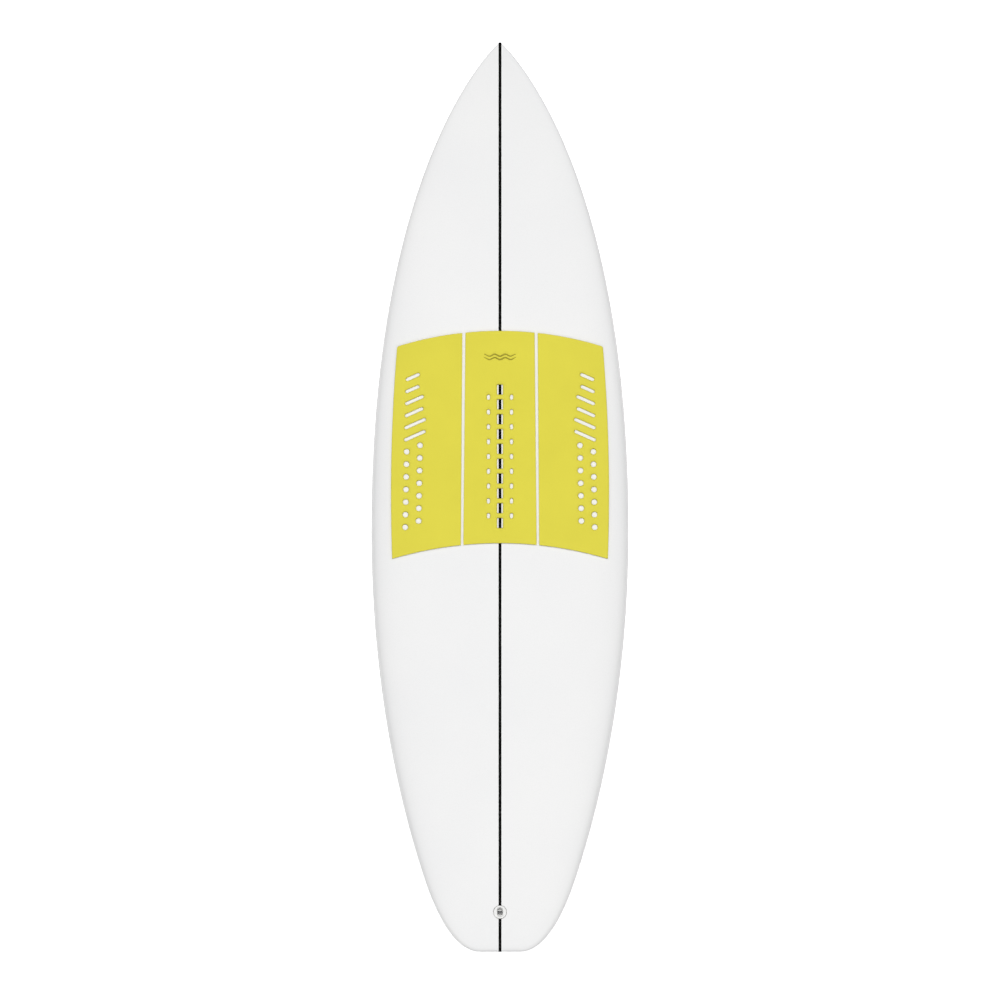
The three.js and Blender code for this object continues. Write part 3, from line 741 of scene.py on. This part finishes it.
def side_edge(front, rear, bow):
    """x of a pad's side edge against y, bowed outward in the middle."""
    fore, aft = pad_top(front), pad_bottom(rear)

    def edge(y):
        along = (y - aft) / (fore - aft)
        return lerp(rear, front, along) + 4 * bow * along * (1 - along)

    return edge


def rounded(corners, steps=6):
    """A closed loop through corners, each (point, radius), rounded where the radius isn't 0."""
    loop = []
    for i, (p, radius) in enumerate(corners):
        p = Vector(p)
        if radius <= 0:
            loop.append(tuple(p))
            continue
        before = (Vector(corners[i - 1][0]) - p).normalized()
        after = (Vector(corners[(i + 1) % len(corners)][0]) - p).normalized()
        half = before.angle(after) / 2
        reach = radius / math.tan(half)
        center = p + (before + after).normalized() * radius / math.sin(half)
        a, b = p + before * reach - center, p + after * reach - center
        for k in range(steps + 1):
            loop.append(tuple(center + a.slerp(b, k / steps) * radius))
    return loop


def pad_outline(left, right, radii):
    """Anticlockwise from the front right corner; left and right are (front x, rear x, bow)."""
    left_edge, right_edge = side_edge(*left), side_edge(*right)
    across, along = 12, 40
    front = [lerp(right[0], left[0], k / across) for k in range(across + 1)]
    rear = [lerp(left[1], right[1], k / across) for k in range(across + 1)]
    down = [lerp(pad_top(left[0]), pad_bottom(left[1]), k / along) for k in range(1, along)]
    up = [lerp(pad_bottom(right[1]), pad_top(right[0]), k / along) for k in range(1, along)]
    points = [((x, pad_top(x)), 0) for x in front]
    points += [((left_edge(y), y), 0) for y in down]
    points += [((x, pad_bottom(x)), 0) for x in rear]
    points += [((right_edge(y), y), 0) for y in up]
    for index, radius in zip((0, across, across + along, 2 * across + along), radii):
        points[index] = (points[index][0], radius)
    return rounded(points)


def circle(x, y, radius, sides=28):
    angles = [2 * math.pi * k / sides for k in range(sides)]
    return [(x + radius * math.cos(a), y + radius * math.sin(a)) for a in angles]


def slot_loop(a, b, radius, steps=10):
    """An anticlockwise round-ended slot between two centres."""
    heading = math.atan2(b[1] - a[1], b[0] - a[0])
    loop = []
    for (x, y), start in ((b, -math.pi / 2), (a, math.pi / 2)):
        for k in range(steps + 1):
            angle = heading + start + math.pi * k / steps
            loop.append((x + radius * math.cos(angle), y + radius * math.sin(angle)))
    return loop


def rounded_box(x, y, radius, middle_y=0.0, steps=5):
    """A rounded rectangle about the middle of X, reaching x and y from its middle."""
    corners = [(x, y), (-x, y), (-x, -y), (x, -y)]
    return rounded([((u, middle_y + v), radius) for u, v in corners], steps)


def offset(loop, distance):
    """The anticlockwise loop moved inward, or outward where distance is negative."""
    def unit(vectors):
        return vectors / np.linalg.norm(vectors, axis=1)[:, None]

    p = np.array(loop)
    tangent = unit(unit(p - np.roll(p, 1, axis=0)) + unit(np.roll(p, -1, axis=0) - p))
    return p + distance * np.stack([-tangent[:, 1], tangent[:, 0]], axis=1)


def inside(points, loop):
    """Which points lie inside a loop, by the edges crossed on the way out."""
    p, a = np.asarray(points), np.asarray(loop)
    b = np.roll(a, -1, axis=0)
    x, y = p[:, :1], p[:, 1:]
    spans = (a[:, 1] > y) != (b[:, 1] > y)
    with np.errstate(divide="ignore", invalid="ignore"):
        crossing = a[:, 0] + (y - a[:, 1]) * (b[:, 0] - a[:, 0]) / (b[:, 1] - a[:, 1])
    return (spans & (x < crossing)).sum(axis=1) % 2 == 1


def within(points, outer, holes):
    """Which points lie inside the outer loop and outside the holes."""
    good = inside(points, outer)
    for hole in holes:
        good &= ~inside(points, hole)
    return good


def filled(outer, holes, spacing):
    """Triangles over a region, with points inside it at about a spacing. Returns (points, faces)."""
    loops = [np.array(outer), *[np.array(h) for h in holes]]
    rim = np.concatenate(loops)
    low, high = loops[0].min(axis=0), loops[0].max(axis=0)
    xs = np.arange(low[0] + spacing / 2, high[0], spacing)
    ys = np.arange(low[1] + spacing / 2, high[1], spacing)
    grid = np.array([(x, y) for x in xs for y in ys]).reshape(-1, 2)
    grid = grid[within(grid, outer, holes)]
    clear = [((rim - g) ** 2).sum(axis=1).min() > (0.3 * spacing) ** 2 for g in grid]
    grid = grid[np.array(clear, bool)]
    edges, start = [], 0
    for loop in loops:
        n = len(loop)
        edges += [(start + k, start + (k + 1) % n) for k in range(n)]
        start += n
    every = [Vector(p) for p in np.concatenate([rim, grid])]
    points, _, faces, *_ = geometry.delaunay_2d_cdt(every, edges, [], 0, 1e-7)
    points = np.array([tuple(p) for p in points])
    faces = np.array(faces)
    return points, faces[within(points[faces].mean(axis=1), outer, holes)]


# The second slot is the cut face, darker as painted shade on the walls and underneath.
SURFACE, CUT_PAINTED_SHADE, PRESSED = 0, 1, 2


def pad_piece(name, outer, holes, marks=()):
    """A foam sheet with rounded edges, laid over the deck."""
    points, faces, slots = [], [], []

    def add(flat, height, new_faces, slot):
        start = len(points)
        flat = np.asarray(flat)
        heights = deck_height(flat[:, 0], flat[:, 1]) + height + BELLY
        points.extend(np.column_stack([flat, heights]).tolist())
        faces.extend([[start + v for v in f] for f in new_faces])
        slots.extend([slot] * len(new_faces))

    def wall(loop, sign, levels, slot):
        """A wall up the levels, each (offset, height). The sign is 1 round the sheet and -1 in a hole."""
        count = len(loop)
        for (d0, z0), (d1, z1) in zip(levels, levels[1:]):
            start = len(points)
            add(offset(loop, sign * d0), z0, [], slot)
            add(offset(loop, sign * d1), z1, [], slot)
            for k in range(count):
                n = (k + 1) % count
                quad = [start + k, start + n, start + count + n, start + count + k]
                faces.append(quad if sign > 0 else quad[::-1])
                slots.append(CUT_PAINTED_SHADE if z1 <= CUT_PAINTED_SHADE_UP_TO else slot)

    under, triangles = filled(outer, holes, spacing=12)
    add(under, PAD_EDGE[0][1], [t[::-1] for t in triangles.tolist()], CUT_PAINTED_SHADE)
    wall(outer, 1, PAD_EDGE, SURFACE)
    for hole in holes:
        wall(hole, -1, HOLE_EDGE, SURFACE)
    for mark in marks:
        wall(mark, -1, MARK_EDGE, PRESSED)
        bed, triangles = filled(offset(mark, -MARK_EDGE[0][0]), [], spacing=3)
        add(bed, MARK_EDGE[0][1], triangles.tolist(), PRESSED)
    rims = [offset(h, -HOLE_EDGE[-1][0]) for h in holes] + [offset(m, -MARK_EDGE[-1][0]) for m in marks]
    sheet, triangles = filled(offset(outer, PAD_EDGE[-1][0]), rims, spacing=6)
    add(sheet, PAD_THICKNESS, triangles.tolist(), SURFACE)
    mesh = cleaned(mesh_from(name, points, faces, slots), distance=4e-6)
    foam = [EVA, EVA_CUT_PAINTED_SHADE, EVA_PRESSED]
    piece = new_object(name, mesh, foam, replaces=[name.replace("_eva", "")])


SIDE_INNER = (71.6, 74.4, 0.0)  # a side pad's edges: x in front, x behind, bow
SIDE_OUTER = (195.4, 204.8, 6.0)
CENTER_EDGE = (65.6, 69.6, 0.0)
SIDE_CORNERS = [5, 1.2, 1.2, 1]  # front outer, front inner, rear inner, rear outer
CENTER_CORNER = 1.2

SLOT_LENGTHS = (22.5, 22.5, 32, 32, 38, 38)  # between the ends' centres, from the front
SLOT_ANGLE = math.radians(24)
SLOT_RADIUS = 3.0
SLOT_X, SLOT_DRIFT = 175.9, 0.65  # the first slot's outer end, and how much further out each next one is
SLOT_Y, SLOT_PITCH = 223.2, 22.9

DOT_ROWS, DOT_RADIUS = 7, 5.3
DOT_Y, DOT_PITCH = 86.1, 23.9
DOT_OUTER_X, DOT_INNER_X, DOT_DRIFT = 177.2, 151.9, 0.45

WINDOW_ROWS, WINDOW_Y, WINDOW_PITCH = 10, 204.0, 28.15
WINDOW_HALF_X, WINDOW_HALF_Y, WINDOW_CORNER = 5.5, 9.45, 1.8
SHORT_X, SHORT_RADIUS = 21.9, 2.9  # the short slots beside the gaps between the windows
SHORT_AFT, SHORT_FORE = 2.4, 1.7  # their ends' centres, from the middle of a gap


def side_pad(side):
    """The port, -1, or starboard, 1, pad, with six slots ahead of two staggered rows of round holes."""
    if side > 0:
        left, right, radii = SIDE_INNER, SIDE_OUTER, SIDE_CORNERS
    else:
        left, right = (tuple(-v for v in edge) for edge in (SIDE_OUTER, SIDE_INNER))
        radii = [SIDE_CORNERS[k] for k in (1, 0, 3, 2)]
    holes = []
    for k, length in enumerate(SLOT_LENGTHS):
        x, y = side * (SLOT_X + SLOT_DRIFT * k), SLOT_Y - SLOT_PITCH * k
        inner = (x - side * length * math.cos(SLOT_ANGLE), y + length * math.sin(SLOT_ANGLE))
        holes.append(slot_loop((x, y), inner, SLOT_RADIUS))
    for k in range(DOT_ROWS):
        y = DOT_Y - DOT_PITCH * k
        holes.append(circle(side * (DOT_OUTER_X + DOT_DRIFT * k), y, DOT_RADIUS))
        holes.append(circle(side * (DOT_INNER_X + DOT_DRIFT * k), y + DOT_PITCH / 2, DOT_RADIUS))
    name = "pad_starboard_eva" if side > 0 else "pad_port_eva"
    pad_piece(name, pad_outline(left, right, radii), holes)


def ripple(middle_y, length, crests, swell, width):
    """A pressed wavy line that thins towards its ends."""
    steps = 60
    above, below = [], []
    for k in range(steps + 1):
        u = k / steps
        phase = 2 * math.pi * crests * u
        at = Vector(((u - 0.5) * length, middle_y + swell * math.cos(phase)))
        slope = -swell * math.sin(phase) * 2 * math.pi * crests / length
        normal = Vector((-slope, 1)).normalized()
        half = width / 2 * (0.22 + 0.78 * math.sin(math.pi * u) ** 0.7)
        above.append(tuple(at + normal * half))
        below.append(tuple(at - normal * half))
    return below + above[::-1]


def center_pad():
    """The middle pad: a row of windows with short slots beside them, and pressed ripples in front."""
    outer = pad_outline(tuple(-v for v in CENTER_EDGE), CENTER_EDGE, [CENTER_CORNER] * 4)
    holes = []
    for k in range(WINDOW_ROWS):
        y = WINDOW_Y - WINDOW_PITCH * k
        holes.append(rounded_box(WINDOW_HALF_X, WINDOW_HALF_Y, WINDOW_CORNER, middle_y=y, steps=6))
        if k < WINDOW_ROWS - 1:
            gap = y - WINDOW_PITCH / 2
            aft, fore = gap - SHORT_AFT, gap + SHORT_FORE
            holes += [slot_loop((x, aft), (x, fore), SHORT_RADIUS, 8) for x in (-SHORT_X, SHORT_X)]
    marks = [ripple(y, length=60, crests=3, swell=1.9, width=2.3) for y in (269.2, 262.8)]
    pad_piece("pad_center_eva", outer, holes, marks)


side_pad(-1)
side_pad(1)
center_pad()

# ---- leash plug ----

CUP_END, CUP_RADIUS, CUP_DEPTH = 3.3, 5.0, 13.5  # an oval, its ends' centres CUP_END from its middle
PIN_RADIUS, PIN_DEPTH, PIN_LENGTH = 2.2, 5.0, 20.0


def leash_plug():
    """A moulded cup with a steel bar across it."""
    flange, shank = PLUG_RADIUS - 0.3, PLUG_RADIUS - 1.5
    below = [(0, -PLUG_DEPTH), (shank - 0.4, -PLUG_DEPTH), (shank, -PLUG_DEPTH + 0.4), (shank, -2)]
    rim = [(flange - 0.2, -2), (flange, -1.8), (flange, -0.8), (flange - 0.2, -0.4), (flange - 0.7, -0.1)]
    body = lathe([*below, *rim, (flange - 1.5, 0), (0, 0)], 96)
    mouth = [(2.2, 1), (1.6, 0.12), (1.3, -0.05), (0.8, -0.35), (0.35, -0.9), (0, -1.8)]
    floor = [(0, -CUP_DEPTH + 1.2), (-0.35, -CUP_DEPTH + 0.35), (-1.2, -CUP_DEPTH)]
    cup = prism_mesh([(stadium_points(CUP_END, CUP_RADIUS + grow, 29), z) for grow, z in (*mouth, *floor)])
    across = Matrix.Translation((0, 0, -PIN_DEPTH * MM)) @ Matrix.Rotation(math.pi / 2, 4, "Y")
    half = PIN_LENGTH / 2
    bore_radius, bore_end = PIN_RADIUS + 0.1, half + 0.2
    bore = lathe([(0, -bore_end), (bore_radius, -bore_end), (bore_radius, bore_end), (0, bore_end)], 48)
    plug = moved(cut_by(body, [cup, moved(bore, across)]), PLUG_PLACE)
    new_object("leash_cup_moulded", plug, [PLUG], replaces=["leash_cup"], sharp_over=35)
    end = [(0, half), (PIN_RADIUS - 0.3, half), (PIN_RADIUS, half - 0.3)]
    pin = moved(lathe([(r, -z) for r, z in end] + end[::-1], 48), PLUG_PLACE @ across)
    # The pin's steel is painted dark, as shade and dark reflections in the cup.
    new_object(
        "leash_pin_turned", pin, [STEEL_PAINTED_SHADE], replaces=["leash_pin"], sharp_over=35
    )


leash_plug()

# ---- fins, boxes and screws ----

TAB_LENGTH, TAB_WIDTH, TAB_HEIGHT, TAB_OFFSET = 26.0, 6.0, 13.0, 32.0
TAB_EDGE = [(0, -0.5), (0, TAB_HEIGHT - 0.8), (0.25, TAB_HEIGHT - 0.25), (0.8, TAB_HEIGHT)]  # inset, height
BOX_EDGE = [(0.6, 0), (0.2, 0.15), (0, 0.6), (0, BOX_DEPTH)]
WELL_HALF, WELL_DEPTH = 3.35, 14.5  # the slot for a tab
SCREW_RADIUS, SCREW_LENGTH = 2.5, 6.0
SCREW_ASIDE, SCREW_SUNK, SCREW_TILT = 8.0, 2.0, math.radians(30)
THREAD_PITCH = 0.8
HEXAGON_RADIUS, HEXAGON_DEPTH = 1.45, 3.0


def screw_place(end, hand):
    """The front, 1, or rear, -1, screw's socket from the middle of its box's face."""
    at = Vector((-hand * SCREW_ASIDE, end * TAB_OFFSET, SCREW_SUNK)) * MM
    return Matrix.Translation(at) @ Matrix.Rotation(hand * SCREW_TILT, 4, "Y")


def hex_screw():
    """A grub screw along Z, its hexagon socket at z = 0."""
    r, top = SCREW_RADIUS, SCREW_LENGTH
    profile = [(0, 0), (r - 0.5, 0), (r - 0.25, 0.08), (r, 0.4)]
    for z in np.arange(0.4, top - 1.2, THREAD_PITCH):
        profile += [(r, z + 0.15), (r - 0.35, z + 0.4), (r, z + 0.65)]
    profile += [(r, top - 1), (r - 0.7, top), (0, top)]
    hexagon = circle(0, 0, HEXAGON_RADIUS, 6)
    socket = prism_mesh([(hexagon, -1), (hexagon, HEXAGON_DEPTH)])
    return cut_by(lathe(profile, 40), [socket])


def fin_box(name, side):
    """A moulded box with a slot for each of the fin's tabs, and its two grub screws."""
    hand = side or 1
    body = prism_mesh([(stadium_points(BOX_HALF, BOX_RADIUS - d, 25), z) for d, z in BOX_EDGE])
    mouth = rounded_box(WELL_HALF, TAB_LENGTH / 2 + 0.5, 0.8)
    bore_radius, bore_start, bore_end = SCREW_RADIUS + 0.3, -6, 10
    profile = [(0, bore_start), (bore_radius, bore_start), (bore_radius, bore_end), (0, bore_end)]
    tools = []
    for end in (-1, 1):
        well = prism_mesh([(mouth, -1), (mouth, WELL_DEPTH)])
        tools.append(moved(well, Matrix.Translation((0, end * TAB_OFFSET * MM, 0))))
        tools.append(moved(lathe(profile, 40), screw_place(end, hand)))
    place = fin_place(side)
    piece = new_object(
        f"fin_box_{name}_moulded", moved(cut_by(body, tools), place), [BOX_PLASTIC],
        replaces=[f"fin_box_{name}"], sharp_over=30,
    )
    edge = piece.modifiers.new("edges", "BEVEL")
    edge.width, edge.segments = 0.25 * MM, 2
    edge.limit_method, edge.angle_limit = "ANGLE", math.radians(40)
    pattern = hex_screw()
    for label, end in (("front", 1), ("rear", -1)):
        screw = moved(pattern.copy(), place @ screw_place(end, hand))
        new_object(
            f"grub_screw_{name}_{label}_steel", screw, [STEEL], body=f"{name}_{label}_screw",
            replaces=[f"grub_screw_{name}_{label}"], sharp_over=30,
        )


FIN_DEPTH = 115.0
FIN_CANT = math.radians(6.5)
FIN_FRONT = [(55.5, 0), (40, 34), (8, 92), (-70, FIN_DEPTH)]  # forward, down
FIN_REAR = [(-55.5, 0), (-44, 30), (-60, 78), (-84, FIN_DEPTH - 3)]
FIN_TIP, FIN_TIP_START = (-77.5, FIN_DEPTH), 0.93  # the tip's rounding starts at this share of the depth
FIN_BASE_HALF, FIN_TIP_HALF = 4.4, 1.1  # half its thickness, besides its edges' own
FIN_EDGE = 0.4  # half the thickness of its edges
FIN_FLAT = 2.4  # a side fin's flat face lies this far inside its middle
FIN_GAP = 0.4  # between the blade and its box


def foil_shape(c):
    """A foil's half thickness along its chord, 0 to 1, about 1 at its thickest."""
    return (0.2969 * np.sqrt(c) - 0.126 * c - 0.3516 * c**2 + 0.2843 * c**3 - 0.1036 * c**4) / 0.1


def fin_blade(side):
    """The blade as a closed mesh, hanging down under its box."""
    sections, steps = 90, 30
    share = np.sin(np.linspace(0, 1, sections) * math.pi / 2)
    into_tip = np.clip((share - FIN_TIP_START) / (1 - FIN_TIP_START), 0, 1)
    pinch = (1 - np.sqrt(1 - 0.998 * into_tip**2))[:, None]
    front = lerp(bezier(FIN_FRONT, share), np.array(FIN_TIP), pinch)
    rear = lerp(bezier(FIN_REAR, share), np.array(FIN_TIP), pinch)
    half = lerp(FIN_BASE_HALF, FIN_TIP_HALF, share) * (1 - 0.5 * share**6) * (1 - 0.8 * pinch[:, 0])
    c = (1 - np.cos(math.pi * np.linspace(0, 1, steps + 1))) / 2
    bulge = FIN_EDGE * (1 - 0.6 * pinch) + half[:, None] * np.maximum(foil_shape(c), 0)[None, :]
    depth = lerp(front[:, 1:], rear[:, 1:], c[None, :])
    y = lerp(front[:, :1], rear[:, :1], c[None, :])

    def face(outer):
        """The outboard, 1, or inboard, -1, face. The centre fin is foiled on both."""
        if side == 0:
            x = outer * bulge
        else:
            x = side * (2 * bulge - FIN_FLAT if outer > 0 else np.full_like(bulge, -FIN_FLAT))
        return np.stack([x + side * depth * math.tan(FIN_CANT), y, -depth - FIN_GAP], axis=2)

    rings = np.concatenate([face(1), face(-1)[:, ::-1]], axis=1)
    count = rings.shape[1]
    faces = ring_faces(sections, count)
    faces += [tuple(range(count)), tuple(range((sections - 1) * count, sections * count))]
    return cleaned(mesh_from("blade", rings.reshape(-1, 3), faces, [0] * len(faces)))


def fin_piece(name, side):
    """A fin: its blade and the two tabs that slide into the box."""
    bm = bmesh.new()
    bm.from_mesh(fin_blade(side))
    for end in (-1, 1):
        loops = [(rounded_box(TAB_WIDTH / 2 - d, TAB_LENGTH / 2 - d, 0.9), z) for d, z in TAB_EDGE]
        bm.from_mesh(moved(prism_mesh(loops), Matrix.Translation((0, end * TAB_OFFSET * MM, 0))))
    mesh = bpy.data.meshes.new(name)
    bm.to_mesh(mesh)
    bm.free()
    new_object(
        f"fin_{name}_composite", moved(mesh, fin_place(side)), [FIN], body=f"{name}_fin",
        replaces=[f"fin_{name}"], sharp_over=35,
    )


for fin_name, fin_side in FIN_SIDES.items():
    fin_box(fin_name, fin_side)
    fin_piece(fin_name, fin_side)

# ---- the pieces that stay as they are in the CAD ----

for node in ("blank_port", "blank_starboard"):
    kept = frame["nodes"][node]
    for material_slot in kept.material_slots:
        material_slot.material = FOAM

# ---- floor, light and camera, in metres ----

# The sky's tone by height, from straight down, 0, to straight up, 1.
SKY = [(0, 0.95), (0.3, 0.54), (0.48, 0.42), (0.55, 0.1), (0.7, 0.24), (0.85, 0.84), (1, 1.31)]
SKY_STRENGTH = 0.735
SKY_LEAN = 0.45  # how much brighter the sky is towards the tail
KEY_FROM = (0, 0.36, 1)
KEY_STRENGTH = 1.6
KEY_ANGLE = math.radians(11)  # how large the sun looks, for soft shadows
FLOOR_Z = -0.032  # clear of the fins when they are drawn out
FLOOR_HALF = 30
FLOOR_DEPTH = 1.5  # a low camera's frame then ends inside the floor's block
FRAME_WIDTH = 1.8985  # what the camera takes in
CAMERA_AT = (0, -0.0056, 4)


def studio_floor():
    """A block with its top under the board."""
    mesh = bpy.data.meshes.new("floor")
    corners = [(x * FLOOR_HALF, y * FLOOR_HALF) for x, y in ((-1, -1), (1, -1), (1, 1), (-1, 1))]
    sides = [(k, (k + 1) % 4, (k + 1) % 4 + 4, k + 4) for k in range(4)]
    points = [(x, y, z) for z in (-FLOOR_DEPTH, 0) for x, y in corners]
    mesh.from_pydata(points, [], [(3, 2, 1, 0), (4, 5, 6, 7), *sides])
    floor = bpy.data.objects.new("floor", mesh)
    floor.location.z = FLOOR_Z
    bpy.context.collection.objects.link(floor)
    mesh.materials.append(floor_look())
    floor.visible_diffuse = False


def studio_sky():
    """A soft surround, graded by height and from tail to nose."""
    world = bpy.data.worlds.new("studio")
    bpy.context.scene.world = world
    world.use_nodes = True
    nodes, links = world.node_tree.nodes, world.node_tree.links
    coordinates = nodes.new("ShaderNodeTexCoord")
    split = nodes.new("ShaderNodeSeparateXYZ")
    height = nodes.new("ShaderNodeMapRange")
    ramp = nodes.new("ShaderNodeValToRGB")
    links.new(coordinates.outputs["Generated"], split.inputs[0])
    height.inputs["From Min"].default_value = -1
    links.new(split.outputs["Z"], height.inputs["Value"])
    links.new(height.outputs["Result"], ramp.inputs["Fac"])
    fill_ramp(ramp.color_ramp, [(at, (tone, tone, tone)) for at, tone in SKY])
    links.new(ramp.outputs["Color"], nodes["Background"].inputs["Color"])
    lean = nodes.new("ShaderNodeMapRange")
    for socket, value in {
        "From Min": -1,
        "To Min": SKY_STRENGTH * (1 + SKY_LEAN),
        "To Max": SKY_STRENGTH * (1 - SKY_LEAN),
    }.items():
        lean.inputs[socket].default_value = value
    links.new(split.outputs["Y"], lean.inputs["Value"])
    links.new(lean.outputs["Result"], nodes["Background"].inputs["Strength"])


def studio_key():
    """A broad high light, leaning a little towards the nose."""
    light = bpy.data.lights.new("key", "SUN")
    light.energy, light.angle = KEY_STRENGTH, KEY_ANGLE
    key = bpy.data.objects.new("key", light)
    key.rotation_euler = (-Vector(KEY_FROM)).to_track_quat("-Z", "Y").to_euler()
    key.visible_glossy = False
    bpy.context.collection.objects.link(key)


def studio_camera():
    """The photograph's view, from straight above."""
    camera = bpy.data.cameras.new("camera")
    camera.type = "ORTHO"
    camera.ortho_scale = FRAME_WIDTH
    camera.clip_end = 100
    holder = bpy.data.objects.new("camera", camera)
    holder.location = CAMERA_AT
    bpy.context.collection.objects.link(holder)
    bpy.context.scene.camera = holder
    bpy.context.scene.view_settings.view_transform = "Standard"
    bpy.context.scene.view_settings.look = "None"


studio_floor()
studio_sky()
studio_key()
studio_camera()
